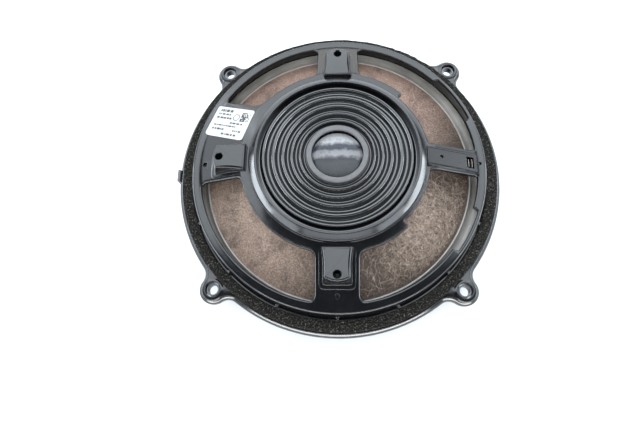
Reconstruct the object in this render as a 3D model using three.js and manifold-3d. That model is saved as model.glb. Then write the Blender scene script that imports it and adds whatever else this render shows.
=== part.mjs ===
import * as THREE from "three";
import Module from "manifold-3d";
import { mergeVertices } from "three/addons/utils/BufferGeometryUtils.js";

// Nominal 9 inch automotive woofer, lying on its front face. All sizes in mm, +Z is the rear.
const TURN = 60;
const HOLE_SIDES = 16;

// Basket
const PLATE_Z = 40;
const WINDOW_R = 94;
const HUB_R = 64.8;
const HUB_Z = PLATE_Z + 12.7;
const BRIM_R = 52.7;
const BRIM_Z = PLATE_Z + 19.3;
const FLANGE_R = 113.7;
const FLANGE_TOP = PLATE_Z - 13.9;
const FLANGE_THICK = 3.4;
const SKIRT_Z = 19;
const WALL = 2.4;

// Mounting ears
const EAR_XY = 83;
const EAR_R = 9.6;
const EAR_FILLET = 8;
const EAR_HOLE_R = 4.9;

// Moving assembly
const CONE_NECK_R = 19.4;
const CONE_NECK_Z = 50;
const CONE_EDGE_R = 91.4;
const CONE_EDGE_Z = 26.2;
const ROLL_MID = 96.6;
const LAND_Z = 22.6;
const BOBBIN_IN = 17.9;
const BOBBIN_OUT = 18.4;
const BOBBIN_LOW = 21.5;
const BOBBIN_HIGH = 57.2;

// Motor
const CUP_R = 30;
const CUP_IN = 21.2;
const CUP_FLOOR = 12;
const CUP_TOP = 33;
const MAGNET_R = 14.6;
const MAGNET_TOP = 26;
const POLE_R = 17.3;
const ARM_TOP = 5.8;
const SCREW_PCD = 108.2;

// Terminal
const PIN_SPOTS = [87.7, 89.9];

const wasm = await Module();
wasm.setup();

function toManifold(geometry) {
  const clean = geometry.clone();
  clean.deleteAttribute("normal");
  clean.deleteAttribute("uv");
  const merged = mergeVertices(clean, 1e-4);
  const vertProperties = new Float32Array(merged.attributes.position.array);
  const triVerts = new Uint32Array(merged.index.array);
  return new wasm.Manifold(new wasm.Mesh({ numProp: 3, vertProperties, triVerts }));
}

function toGeometry(solid) {
  const mesh = solid.getMesh();
  const geometry = new THREE.BufferGeometry();
  geometry.setAttribute("position", new THREE.BufferAttribute(new Float32Array(mesh.vertProperties), 3));
  geometry.setIndex(new THREE.BufferAttribute(new Uint32Array(mesh.triVerts), 1));
  geometry.computeVertexNormals();
  return geometry;
}

// Solid of revolution about Z from a closed [radius, z] outline.
function turned(outline, segments = TURN) {
  const points = outline.map(([r, z]) => new THREE.Vector2(r, z));
  const onAxis = outline[0][0] === 0;
  if (!onAxis) {
    points.push(points[0].clone());
  }
  const geometry = new THREE.LatheGeometry(points, segments);
  geometry.rotateX(Math.PI / 2);
  return toManifold(outward(geometry));
}

// Turns the faces round when a swept outline came out inside facing.
function outward(geometry) {
  const p = geometry.attributes.position;
  const index = geometry.index;
  const a = new THREE.Vector3();
  const b = new THREE.Vector3();
  const c = new THREE.Vector3();
  let volume = 0;
  for (let i = 0; i < index.count; i += 3) {
    a.fromBufferAttribute(p, index.getX(i));
    b.fromBufferAttribute(p, index.getX(i + 1));
    c.fromBufferAttribute(p, index.getX(i + 2));
    volume += a.dot(b.cross(c));
  }
  if (volume < 0) {
    for (let i = 0; i < index.count; i += 3) {
      const first = index.getX(i);
      index.setX(i, index.getX(i + 1));
      index.setX(i + 1, first);
    }
  }
  return geometry;
}

function ring(inner, outer, low, high, segments = 48) {
  return turned([[inner, low], [outer, low], [outer, high], [inner, high]], segments);
}

function disc(radius, low, high, segments = 48) {
  return turned([[0, low], [radius, low], [radius, high], [0, high]], segments);
}

function post(x, y, radius, low, high, sides = HOLE_SIDES) {
  const geometry = new THREE.CylinderGeometry(radius, radius, high - low, sides);
  geometry.rotateX(Math.PI / 2);
  geometry.translate(x, y, (low + high) / 2);
  return toManifold(geometry);
}

function box(x0, x1, y0, y1, z0, z1) {
  const geometry = new THREE.BoxGeometry(x1 - x0, y1 - y0, z1 - z0);
  geometry.translate((x0 + x1) / 2, (y0 + y1) / 2, (z0 + z1) / 2);
  return toManifold(geometry);
}

// Straight prism through a flat outline of [x, y] points.
function prism(outline, low, high) {
  const shape = new THREE.Shape(outline.map(([x, y]) => new THREE.Vector2(x, y)));
  const geometry = new THREE.ExtrudeGeometry(shape, { depth: high - low, bevelEnabled: false });
  geometry.translate(0, 0, low);
  return toManifold(mergeVertices(geometry));
}

// Eight cornered block whose lower and upper faces are given as four [x, y, z] corners each.
function block(lower, upper) {
  const corners = [...lower, ...upper];
  const geometry = new THREE.BufferGeometry();
  geometry.setAttribute("position", new THREE.BufferAttribute(new Float32Array(corners.flat()), 3));
  const n = lower.length;
  const faces = [];
  for (let i = 1; i < n - 1; i += 1) {
    faces.push(0, i + 1, i, n, n + i, n + i + 1);
  }
  for (let i = 0; i < n; i += 1) {
    const j = (i + 1) % n;
    faces.push(i, j, j + n, i, j + n, i + n);
  }
  geometry.setIndex(faces);
  return toManifold(outward(geometry));
}

function spin(solid, degrees) {
  return solid.rotate([0, 0, degrees]);
}

function radians(degrees) {
  return (degrees * Math.PI) / 180;
}

function polar(radius, degrees) {
  return [radius * Math.cos(radians(degrees)), radius * Math.sin(radians(degrees))];
}

function arc(radius, from, to, steps) {
  return Array.from({ length: steps + 1 }, (_, i) => polar(radius, from + ((to - from) * i) / steps));
}

// Rounds every corner of a flat outline; corners listed as [x, y, radius].
function rounded(corners) {
  const outline = [];
  corners.forEach(([x, y, radius], i) => {
    if (!radius) {
      outline.push([x, y]);
      return;
    }
    const before = corners[(i + corners.length - 1) % corners.length];
    const after = corners[(i + 1) % corners.length];
    const here = new THREE.Vector2(x, y);
    const toBefore = new THREE.Vector2(before[0], before[1]).sub(here);
    const toAfter = new THREE.Vector2(after[0], after[1]).sub(here);
    const reach = Math.min(radius, 0.48 * toBefore.length(), 0.48 * toAfter.length());
    const start = here.clone().addScaledVector(toBefore.normalize(), reach);
    const end = here.clone().addScaledVector(toAfter.normalize(), reach);
    for (let k = 0; k <= 4; k += 1) {
      const t = k / 4;
      outline.push([
        (1 - t) * (1 - t) * start.x + 2 * t * (1 - t) * x + t * t * end.x,
        (1 - t) * (1 - t) * start.y + 2 * t * (1 - t) * y + t * t * end.y,
      ]);
    }
  });
  return outline;
}

// Height of the sloping rear plate at a radius.
function plateZ(radius) {
  return PLATE_Z + 0.5 + ((WINDOW_R - radius) * (HUB_Z - PLATE_Z - 0.5)) / (WINDOW_R - HUB_R);
}

function union(solids) {
  return solids.reduce((sum, solid) => sum.add(solid));
}

function fourTimes(make) {
  return [0, 90, 180, 270].map(make);
}

// ---- Basket ---------------------------------------------------------------------------------

function basketShell() {
  return turned([
    [BRIM_R, BRIM_Z],
    [53.5, BRIM_Z],
    [57.8, PLATE_Z + 16.5],
    [59.1, HUB_Z + 1],
    [HUB_R, HUB_Z],
    [WINDOW_R, PLATE_Z + 0.5],
    [99.2, PLATE_Z],
    [100.2, PLATE_Z - 0.9],
    [101.7, FLANGE_TOP + 1],
    [102.2, FLANGE_TOP],
    [110.7, FLANGE_TOP],
    [112.8, FLANGE_TOP - 0.9],
    [FLANGE_R, FLANGE_TOP - 3],
    [FLANGE_R, SKIRT_Z],
    [111.6, SKIRT_Z],
    [111.6, FLANGE_TOP - FLANGE_THICK],
    [100.6, FLANGE_TOP - FLANGE_THICK],
    [98.9, PLATE_Z - 1.4],
    [WINDOW_R, PLATE_Z + 0.4 - WALL],
    [HUB_R, HUB_Z - WALL - 0.2],
    [50.0, HUB_Z - WALL],
    [50.0, HUB_Z + 1.6],
    [BRIM_R, HUB_Z + 1.6],
  ]);
}

// Mounting ear blended into the round flange by two hollow fillets.
function ear(degrees) {
  const reach = EAR_XY * Math.SQRT2;
  const far = FLANGE_R + EAR_FILLET;
  const near = EAR_R + EAR_FILLET;
  const half = Math.acos((far * far + reach * reach - near * near) / (2 * far * reach));
  const centre = [far * Math.cos(half), far * Math.sin(half)];
  const outline = [[112, 12]];
  const start = Math.atan2(-centre[1], -centre[0]);
  const end = Math.atan2(-centre[1], reach - centre[0]);
  for (let k = 0; k <= 5; k += 1) {
    const a = start + ((end - start) * k) / 5;
    outline.push([centre[0] + EAR_FILLET * Math.cos(a), centre[1] + EAR_FILLET * Math.sin(a)]);
  }
  const turnFrom = Math.atan2(centre[1], centre[0] - reach);
  for (let k = 1; k < 12; k += 1) {
    const a = turnFrom - (2 * turnFrom * k) / 12;
    outline.push([reach + EAR_R * Math.cos(a), EAR_R * Math.sin(a)]);
  }
  for (let k = 5; k >= 0; k -= 1) {
    const a = start + ((end - start) * k) / 5;
    outline.push([centre[0] + EAR_FILLET * Math.cos(a), -centre[1] - EAR_FILLET * Math.sin(a)]);
  }
  outline.push([112, -12]);
  outline.reverse();
  const body = prism(outline, SKIRT_Z, FLANGE_TOP);
  const boss = post(reach, 0, 6.4, FLANGE_TOP - 1, FLANGE_TOP + 0.6);
  return spin(body.add(boss), degrees);
}

// Outline of one window between two spokes: inner edge, then outer edge.
function windowOutline(inner, outer) {
  return rounded([...inner, ...outer]);
}

function windows() {
  const topLeft = windowOutline(
    [[-14.5, 63.2, 4], ...arc(HUB_R, 112, 135, 4).map((p) => [...p, 0]), [-54.2, 39.6, 4]],
    [[-80.4, 49.4, 4], ...arc(WINDOW_R, 142, 106, 6).map((p) => [...p, 0]), [-14.5, 92.7, 5]],
  );
  const lowLeft = windowOutline(
    [[-63.4, -13.4, 4], ...arc(HUB_R, 200, 249, 8).map((p) => [...p, 0]), [-14.2, -63.3, 4]],
    [[-14.2, -92.9, 5], ...arc(WINDOW_R, 254, 194, 10).map((p) => [...p, 0]), [-93, -13.4, 5]],
  );
  const lowRight = windowOutline(
    [[14.2, -63.3, 4], ...arc(HUB_R, 291, 311, 4).map((p) => [...p, 0]), [44.8, -46.6, 2.4],
      [41.7, -43.4, 1.5], ...arc(60.6, 318, 349, 6).map((p) => [...p, 0]), [60.4, -8.6, 1.5]],
    [[93.5, -8.6, 4], ...arc(WINDOW_R, 352, 341, 2).map((p) => [...p, 0]),
      ...arc(97.5, 340, 322.5, 4).map((p) => [...p, 0]),
      ...arc(WINDOW_R, 321.5, 287, 7).map((p) => [...p, 0]), [14.2, -92.9, 5]],
  );
  const topRight = windowOutline(
    [[60.2, 9.8, 1.5], ...arc(60.6, 12, 45, 7).map((p) => [...p, 0]), [41.5, 44.4, 1.5],
      [44.4, 47.4, 2.4], ...arc(HUB_R, 50, 69, 4).map((p) => [...p, 0]), [14.5, 63.2, 4]],
    [[14.5, 92.7, 5], ...arc(WINDOW_R, 74, 43.5, 6).map((p) => [...p, 0]),
      ...arc(97.5, 42.5, 21, 5).map((p) => [...p, 0]),
      ...arc(WINDOW_R, 20, 9, 2).map((p) => [...p, 0]), [93.4, 9.8, 4]],
  );
  return [topLeft, lowLeft, lowRight, topRight].map((outline) => prism(outline, 30, 70));
}

// Raised pad on a spoke, starting just outside the hub wall and ending in a bowed lip.
function pad(degrees) {
  const top = PLATE_Z + 15.8;
  const sole = [[60.4, -9.9], [82.0, -9.3], [83.0, -4], [83.0, 4], [82.0, 9.3], [60.4, 9.9]];
  const crown = [[60.8, -9.3], [80.0, -8.1], [82.2, -3.6], [82.2, 3.6], [80.0, 8.1], [60.8, 9.3]];
  const lower = sole.map(([x, y]) => [x, y, plateZ(Math.max(x, HUB_R)) - 1.2]);
  const upper = crown.map(([x, y]) => [x, y, top]);
  return spin(block(lower, upper), degrees);
}

// Raised wiring channel on the right spoke, running down from the hub to the rim.
function channel() {
  const lower = [[58.5, -7], [94, -7], [94, 7], [58.5, 7]];
  return block(
    lower.map(([x, y]) => [x, y, plateZ(Math.max(x, HUB_R)) - 1.2]),
    [[58, -6.4, PLATE_Z + 16.2], [94, -6.8, PLATE_Z + 0.3], [94, 6.8, PLATE_Z + 0.3],
      [58, 6.4, PLATE_Z + 16.2]],
  );
}

function basket() {
  const ribs = Array.from({ length: 16 }, (_, i) => {
    return spin(box(100.4, 102.7, -1.1, 1.1, FLANGE_TOP - 1, FLANGE_TOP + 6), i * 22.5);
  });
  const raised = [pad(90), pad(180), pad(270), channel(), ...ribs];
  const bore = disc(BRIM_R, HUB_Z + 1.6, 80);
  const holes = [
    ...fourTimes((a) => spin(post(EAR_XY * Math.SQRT2, 0, EAR_HOLE_R, 0, 60), a + 45)),
    ...[90, 180, 270].map((a) => spin(post(77.6, 0, 2.2, 46, 70, 14), a)),
    post(-90.8, 0, 1.5, 30, 60, 10),
    post(68, 0.4, 1.2, 30, 70, 10),
    post(95.6, 0.4, 1.1, 30, 70, 10),
    box(86, 91.4, -4, 4, 30, 60),
  ];
  const ears = fourTimes((a) => ear(a + 45));
  const solid = union([basketShell(), ...ears, ...raised.map((part) => part.subtract(bore))]);
  return solid.subtract(union([...windows(), ...holes]));
}

function bushing(degrees) {
  const reach = EAR_XY * Math.SQRT2;
  const sleeve = ring(3.2, EAR_HOLE_R - 0.3, SKIRT_Z, FLANGE_TOP - 1.2, HOLE_SIDES);
  return spin(sleeve.translate([reach, 0, 0]), degrees);
}

// ---- Moving assembly ------------------------------------------------------------------------

// Corrugated suspension disc: crests and troughs alternate with a growing pitch.
function spider() {
  const crests = [24.1, 29.5, 35.2, 41.6, 48.4];
  const troughs = [21.7, 26.9, 32.4, 38.5, 45.2];
  const waves = crests.flatMap((crest, i) => [[troughs[i], 55.7], [crest, 58.3]]);
  const levels = [[20.4, 56.0], ...waves, [50.6, 55.3], [52.4, 55.1]];
  const under = levels.map(([r, z]) => [r, z - 0.7]).reverse();
  return turned([...levels, ...under], 48);
}

function collar() {
  return turned([
    [16.75, 59.3], [19.6, 59.3], [20.1, 58.8], [20.1, 52.4], [18.7, 52.4], [18.7, 57.5], [16.75, 57.5],
  ]);
}

function dustCap() {
  return turned([
    [0, 55.4], [8, 55.1], [16.4, 53.4], [16.4, 54.4], [13, 55.4], [8, 56.1], [0, 56.4],
  ]);
}

function capSeat() {
  return ring(15.2, BOBBIN_IN - 0.05, 52.2, 53.35);
}

function coneZ(radius) {
  const t = (radius - CONE_NECK_R) / (CONE_EDGE_R - CONE_NECK_R);
  return CONE_NECK_Z + (CONE_EDGE_Z - CONE_NECK_Z) * t + 2.2 * Math.sin(Math.PI * t);
}

function cone() {
  const radii = [CONE_NECK_R, 34, 50, 68, 82, CONE_EDGE_R];
  const top = radii.map((r) => [r, coneZ(r)]);
  const under = radii.map((r) => [r, coneZ(r) - 1.1]).reverse();
  const neck = [[18.75, 45.4], [18.75, CONE_NECK_Z + 0.6]];
  return turned([...top, ...under.slice(0, -1), [19.6, 45.4], ...neck]);
}

function bobbin() {
  return ring(BOBBIN_IN, BOBBIN_OUT, BOBBIN_LOW, BOBBIN_HIGH);
}

function winding() {
  return ring(BOBBIN_OUT + 0.05, 19.6, BOBBIN_LOW + 0.8, 37.5);
}

// One face of the half roll, from its inner end to its outer end.
function rollFace(half, innerZ, outerZ, sag) {
  return Array.from({ length: 8 }, (_, i) => {
    const a = (Math.PI * i) / 7;
    const chord = innerZ + ((outerZ - innerZ) * i) / 7;
    return [ROLL_MID - half * Math.cos(a), chord - sag * Math.sin(a)];
  });
}

// Rubber edge: lip under the cone, bead round its rim, roll bulging to the front, and a land that
// is clamped under the basket and stands up as a lip against its wall.
function surround() {
  const rear = rollFace(3.6, CONE_EDGE_Z - 0.6, CONE_EDGE_Z - 0.8, 4.0);
  const front = rollFace(4.4, CONE_EDGE_Z - 2.0, LAND_Z - 0.9, 3.5);
  return turned([
    [87.0, coneZ(87) - 1.2],
    [91.6, CONE_EDGE_Z - 1.2],
    [91.6, CONE_EDGE_Z + 0.5],
    [92.7, CONE_EDGE_Z + 0.5],
    ...rear,
    [100.4, LAND_Z],
    [110.8, LAND_Z],
    [110.8, LAND_Z - 0.9],
    ...front.reverse(),
    [91.3, CONE_EDGE_Z - 2.2],
    [87.0, coneZ(87) - 2.2],
  ]);
}

// ---- Front frame and motor ------------------------------------------------------------------

function screwSpots() {
  return fourTimes((a) => polar(SCREW_PCD, a + 45));
}

// Clamp ring with four blind screw holes and, on its left side, a keying tab that rises beside the flange.
function frontRing() {
  const body = ring(103.4, 111.2, 8, 21.6);
  const foot = box(-115.4, -110, -5.2, 3.4, 12, 17.8);
  const blade = box(-115.4, -114.1, -5.2, 3.4, 17, FLANGE_TOP - 0.6);
  const holes = screwSpots().map(([x, y]) => post(x, y, 1.75, 5, 18));
  return body.add(foot).add(blade).subtract(union(holes));
}

// Four armed bridge that carries the motor in the mouth of the cone.
function bridge() {
  const rim = ring(102.6, 112.2, 0, 7.9);
  const hub = disc(33, 0, ARM_TOP);
  const arms = fourTimes((a) => {
    return spin(block(
      [[30, -9, 0], [104.5, -7, 0], [104.5, 7, 0], [30, 9, 0]],
      [[30, -7.5, ARM_TOP], [104.5, -5.5, ARM_TOP], [104.5, 5.5, ARM_TOP], [30, 7.5, ARM_TOP]],
    ), a + 45);
  });
  const pockets = screwSpots().map(([x, y]) => post(x, y, 3.4, -1, 4));
  const clear = screwSpots().map(([x, y]) => post(x, y, 1.9, -1, 12));
  const motor = fourTimes((a) => {
    const [x, y] = polar(24, a);
    return post(x, y, 3.2, -1, 3.2).add(post(x, y, 1.9, -1, 12));
  });
  return union([rim, hub, ...arms]).subtract(union([...pockets, ...clear, ...motor]));
}

// Pan head screw standing up from its head.
function screw(x, y, low, headHigh, tip, headR, shankR) {
  const head = post(x, y, headR, low, headHigh, 14);
  const shank = post(x, y, shankR, headHigh - 0.2, tip, 12);
  const slot = box(x - 1.9, x + 1.9, y - 0.45, y + 0.45, low - 1, low + 0.9);
  return head.add(shank).subtract(slot);
}

function bridgeScrew([x, y]) {
  return screw(x, y, 1.2, 3.95, 17, 3.1, 1.6);
}

function yoke() {
  const cup = turned([
    [0, ARM_TOP + 0.05],
    [CUP_R, ARM_TOP + 0.05],
    [CUP_R, CUP_TOP],
    [CUP_IN, CUP_TOP],
    [CUP_IN, CUP_FLOOR],
    [0, CUP_FLOOR],
  ]);
  const holes = fourTimes((a) => post(...polar(24, a), 1.75, 0, 15.2, 12));
  return cup.subtract(union(holes));
}

function shortingRing() {
  return ring(MAGNET_R + 0.3, POLE_R - 0.2, CUP_FLOOR + 0.05, MAGNET_TOP);
}

function motorScrew(degrees) {
  return screw(...polar(24, degrees), 0.9, 3.15, 14.5, 2.9, 1.6);
}

function terminalBlock() {
  const body = block(
    [[82, -7.5, 39], [93.4, -7.5, 35.2], [93.4, 7.5, 35.2], [82, 7.5, 39]],
    [[82, -7.5, 42.6], [93.4, -7.5, 37.9], [93.4, 7.5, 37.9], [82, 7.5, 42.6]],
  );
  const pockets = PIN_SPOTS.map((x) => box(x - 0.7, x + 0.7, -3.3, 3.3, 38.1, 50));
  return body.subtract(union(pockets));
}

// Flat blade standing across the slot.
function terminalPin(x) {
  return box(x - 0.4, x + 0.4, -3, 3, 38.15, 42.4);
}

// Braided lead hanging from the terminal block to the foot of the collar.
function lead(y) {
  const path = new THREE.CatmullRomCurve3([
    new THREE.Vector3(81.9, y, 40.8), new THREE.Vector3(70, y, 42.6), new THREE.Vector3(52, y, 45.6),
    new THREE.Vector3(34, y, 50.0), new THREE.Vector3(19.85, y, 53.6),
  ]);
  const section = new THREE.Shape(arc(0.8, 0, 315, 7).map(([x, z]) => new THREE.Vector2(x, z)));
  const sweep = { steps: 14, extrudePath: path, bevelEnabled: false };
  return toManifold(outward(mergeVertices(new THREE.ExtrudeGeometry(section, sweep))));
}

// Generic rating label lying on the sloping plate.
function label() {
  const corners = [[-84.6, 46.4, 2.5], [-56.4, 34.8, 2.5], [-64.6, 12.6, 2.5], [-93.0, 24.2, 2.5]];
  const tall = prism(rounded(corners), 30, 60);
  const skin = turned([
    [HUB_R + 0.4, HUB_Z + 0.25],
    [HUB_R + 0.4, HUB_Z - 0.1],
    [WINDOW_R, PLATE_Z + 0.55],
    [98.6, PLATE_Z + 0.1],
    [98.6, PLATE_Z + 0.4],
    [WINDOW_R, PLATE_Z + 0.85],
  ]);
  return skin.intersect(tall);
}

// ---- Assembly -------------------------------------------------------------------------------

const assembly = new THREE.Group();
assembly.name = "car_subwoofer";

function add(name, solid, color, roughness = 0.6, metalness = 0) {
  const material = new THREE.MeshStandardMaterial({ color, roughness, metalness });
  material.name = `${name}_material`;
  const mesh = new THREE.Mesh(toGeometry(solid), material);
  mesh.name = name;
  assembly.add(mesh);
}

add("basket", basket(), 0x2c2f33, 0.4);
add("rear_gasket", ring(102.9, 110.4, FLANGE_TOP + 0.05, FLANGE_TOP + 3), 0x302d28, 0.95);
fourTimes((a) => add(`ear_bushing_${a / 90 + 1}`, bushing(a + 45), 0x8c9096, 0.35, 0.9));
add("label", label(), 0xf2f2ee, 0.6);
add("spider", spider(), 0x17181a, 0.4);
add("collar", collar(), 0x9a9da0, 0.5);
add("dust_cap", dustCap(), 0x3c4046, 0.3);
add("cap_seat", capSeat(), 0x1c1c1e, 0.7);
add("bobbin", bobbin(), 0xb9bcc0, 0.4, 0.6);
add("voice_coil", winding(), 0xa05a2c, 0.35, 0.8);
add("cone", cone(), 0xa08878, 0.9);
add("surround", surround(), 0x6b6862, 0.6);
add("front_ring", frontRing(), 0x24262a, 0.6);
add("bridge", bridge(), 0x24262a, 0.5);
add("yoke", yoke(), 0x777b80, 0.4, 0.9);
add("magnet", disc(MAGNET_R, CUP_FLOOR + 0.05, MAGNET_TOP), 0xb5b8bc, 0.25, 0.95);
add("shorting_ring", shortingRing(), 0xc9ccd0, 0.3, 0.9);
add("pole_plate", disc(POLE_R, MAGNET_TOP + 0.05, CUP_TOP), 0x6f7378, 0.4, 0.9);
fourTimes((a) => add(`motor_screw_${a / 90 + 1}`, motorScrew(a), 0x9a9da2, 0.3, 0.95));
screwSpots().forEach((spot, i) => add(`bridge_screw_${i + 1}`, bridgeScrew(spot), 0x9a9da2, 0.3, 0.95));
add("terminal_block", terminalBlock(), 0x1e2022, 0.7);
PIN_SPOTS.forEach((x, i) => add(`terminal_pin_${i + 1}`, terminalPin(x), 0xc8a24a, 0.3, 0.95));
[-4.6, 4.6].forEach((y, i) => add(`tinsel_lead_${i + 1}`, lead(y), 0xb08a5a, 0.5, 0.6));

export default assembly;
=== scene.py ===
import math
import random

import bpy
import numpy as np
from mathutils import Matrix, Vector


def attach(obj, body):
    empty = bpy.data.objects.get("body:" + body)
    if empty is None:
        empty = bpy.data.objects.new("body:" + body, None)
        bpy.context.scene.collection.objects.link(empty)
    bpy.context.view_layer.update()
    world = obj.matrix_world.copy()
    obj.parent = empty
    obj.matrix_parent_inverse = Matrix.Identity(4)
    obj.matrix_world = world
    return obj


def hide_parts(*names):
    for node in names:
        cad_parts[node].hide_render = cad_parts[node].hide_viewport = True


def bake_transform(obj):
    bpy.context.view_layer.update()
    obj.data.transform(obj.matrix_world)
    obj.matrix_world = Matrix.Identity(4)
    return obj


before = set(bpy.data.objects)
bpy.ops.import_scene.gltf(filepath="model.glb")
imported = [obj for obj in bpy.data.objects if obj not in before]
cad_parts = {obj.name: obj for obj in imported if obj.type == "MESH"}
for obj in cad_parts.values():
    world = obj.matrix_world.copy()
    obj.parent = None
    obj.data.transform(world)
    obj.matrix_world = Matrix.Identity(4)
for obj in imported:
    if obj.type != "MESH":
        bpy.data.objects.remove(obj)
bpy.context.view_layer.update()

MM = 0.001
SMOOTH = 32  # degrees: flatter edges are shaded smooth

# ---------------------------------------------------------------- dimensions, in mm, +Z rear
PLATE_Z = 40.0
PLATE_R = 100.0
WINDOW_R = 94.0
WINDOW_RISE = 0.5
HUB_R = 64.8
HUB_Z = 52.7
BRIM_R = 52.7
BRIM_Z = 59.3
FLANGE_R = 113.7
FLANGE_TOP = 26.1
SKIRT_Z = 19.0
EAR = 83.0
EAR_R = 9.6
EAR_FILLET = 8.0
EAR_REACH = EAR * math.sqrt(2)
EAR_HOLE_R = 4.9
PAD_TOP = PLATE_Z + 15.8
PAD_HOLE_REACH = 78.0
PAD_ANGLES = (90, 180, 270)
DIMPLE_REACH = 89.5
DIMPLE_TILT = 0.418
TOOL_TOP = 75.0
CONE_NECK = (19.4, 50.0)
CONE_EDGE = (91.4, 26.2)
ROLL_MID = 96.6
LAND_Z = 22.6
PIN_SPOTS = (87.7, 89.9)
PRINT_LIFT = 0.36
FINE = 256


def plate_z(radius):
    """Height of the sloping rear plate at a radius."""
    slope = (HUB_Z - PLATE_Z - WINDOW_RISE) / (WINDOW_R - HUB_R)
    if radius >= WINDOW_R:
        return PLATE_Z + WINDOW_RISE * max(0.0, (PLATE_R - radius) / (PLATE_R - WINDOW_R))
    return min(HUB_Z, PLATE_Z + WINDOW_RISE + (WINDOW_R - radius) * slope)


def on_plate(outline, lift):
    """Flat outline laid over the plate and the hub, lifted by a height."""
    return [(x, y, plate_z(max(math.hypot(x, y), HUB_R)) + lift) for x, y in outline]


def cone_z(radius):
    """Height of the cone's rear face at a radius, bulging a little between neck and edge."""
    t = (radius - CONE_NECK[0]) / (CONE_EDGE[0] - CONE_NECK[0])
    return CONE_NECK[1] + (CONE_EDGE[1] - CONE_NECK[1]) * t + 2.2 * math.sin(math.pi * t)


# ---------------------------------------------------------------- mesh helpers
def build(name, parts, material, angle=SMOOTH):
    """One object from [(vertices in mm, faces), ...], smooth below the given edge angle."""
    verts, faces = [], []
    for part_verts, part_faces in parts:
        base = len(verts)
        verts.extend(part_verts)
        faces.extend([tuple(base + i for i in f) for f in part_faces])
    mesh = bpy.data.meshes.new(name)
    mesh.from_pydata([(x * MM, y * MM, z * MM) for x, y, z in verts], [], faces)
    mesh.validate()
    mesh.polygons.foreach_set("use_smooth", [True] * len(mesh.polygons))
    mesh.set_sharp_from_angle(angle=math.radians(angle))
    obj = bpy.data.objects.new(name, mesh)
    bpy.context.scene.collection.objects.link(obj)
    obj.data.materials.append(material)
    return obj


def lathe(profile, segments=FINE, wobble=None):
    """Closed [r, z] profile turned about Z; a profile that starts on the axis is closed there."""
    verts, faces = [], []
    on_axis = profile[0][0] < 1e-6
    body = profile[1:-1] if on_axis else profile
    count = len(body)
    for k in range(segments):
        a = 2 * math.pi * k / segments
        for j, (r, z) in enumerate(body):
            dr, dz = wobble(a, j, r, z) if wobble else (0.0, 0.0)
            verts.append(((r + dr) * math.cos(a), (r + dr) * math.sin(a), z + dz))
    for k in range(segments):
        n = (k + 1) % segments
        for j in range(count if not on_axis else count - 1):
            m = (j + 1) % count
            faces.append((k * count + j, n * count + j, n * count + m, k * count + m))
    if on_axis:
        first, last = len(verts), len(verts) + 1
        verts += [(0, 0, profile[0][1]), (0, 0, profile[-1][1])]
        for k in range(segments):
            n = (k + 1) % segments
            faces.append((first, n * count, k * count))
            faces.append((last, k * count + count - 1, n * count + count - 1))
    return oriented(verts, faces)


def oriented(verts, faces):
    """The same faces, turned to face outward."""
    volume = 0.0
    for f in faces:
        a = Vector(verts[f[0]])
        for i in range(1, len(f) - 1):
            volume += a.dot(Vector(verts[f[i]]).cross(Vector(verts[f[i + 1]])))
    return verts, faces if volume > 0 else [tuple(reversed(f)) for f in faces]


def filleted(points, steps=4):
    """Closed profile whose corners [r, z, reach] are rounded, up to nearly half of a side."""
    out = []
    for i, (x, y, radius) in enumerate(points):
        here = Vector((x, y))
        if not radius:
            out.append((x, y))
            continue
        before = Vector(points[i - 1][:2]) - here
        after = Vector(points[(i + 1) % len(points)][:2]) - here
        reach = min(radius, before.length * 0.48, after.length * 0.48)
        start = here + before.normalized() * reach
        end = here + after.normalized() * reach
        for k in range(steps + 1):
            t = k / steps
            p = start * (1 - t) ** 2 + here * (2 * t * (1 - t)) + end * t * t
            out.append((p.x, p.y))
    return out


def lofted(levels):
    """Closed solid through level outlines of equal length, each a list of (x, y, z)."""
    count = len(levels[0])
    verts = [p for level in levels for p in level]
    faces = []
    for i in range(len(levels) - 1):
        for j in range(count):
            k = (j + 1) % count
            low, high = i * count, (i + 1) * count
            faces.append((low + j, low + k, high + k, high + j))
    faces.append(tuple(range(count - 1, -1, -1)))
    faces.append(tuple((len(levels) - 1) * count + j for j in range(count)))
    return oriented(verts, faces)


def resampled(outline, step=0.9):
    """Closed flat outline with extra points so that no side is longer than step."""
    out = []
    for i, (x, y) in enumerate(outline):
        nx, ny = outline[(i + 1) % len(outline)]
        parts = max(1, int(math.hypot(nx - x, ny - y) / step))
        for k in range(parts):
            out.append((x + (nx - x) * k / parts, y + (ny - y) * k / parts))
    return out


def inset(outline, distance):
    """Flat outline moved inward by distance along its own normals (counter-clockwise outline)."""
    out = []
    n = len(outline)
    for i, (x, y) in enumerate(outline):
        px, py = outline[i - 1]
        qx, qy = outline[(i + 1) % n]
        tx, ty = qx - px, qy - py
        length = math.hypot(tx, ty) or 1.0
        out.append((x - ty / length * distance, y + tx / length * distance))
    return out


def counter_clockwise(outline):
    sides = zip(outline, outline[1:] + outline[:1])
    return outline if sum(a[0] * b[1] - b[0] * a[1] for a, b in sides) > 0 else outline[::-1]


def polar(radius, degrees):
    a = math.radians(degrees)
    return radius * math.cos(a), radius * math.sin(a)


def arc(radius, start, end, steps):
    return [polar(radius, start + (end - start) * i / steps) for i in range(steps + 1)]


def turned_by(part, degrees):
    c, s = math.cos(math.radians(degrees)), math.sin(math.radians(degrees))
    verts, faces = part
    return [(x * c - y * s, x * s + y * c, z) for x, y, z in verts], faces


def moved(part, dx, dy):
    verts, faces = part
    return [(x + dx, y + dy, z) for x, y, z in verts], faces


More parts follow.
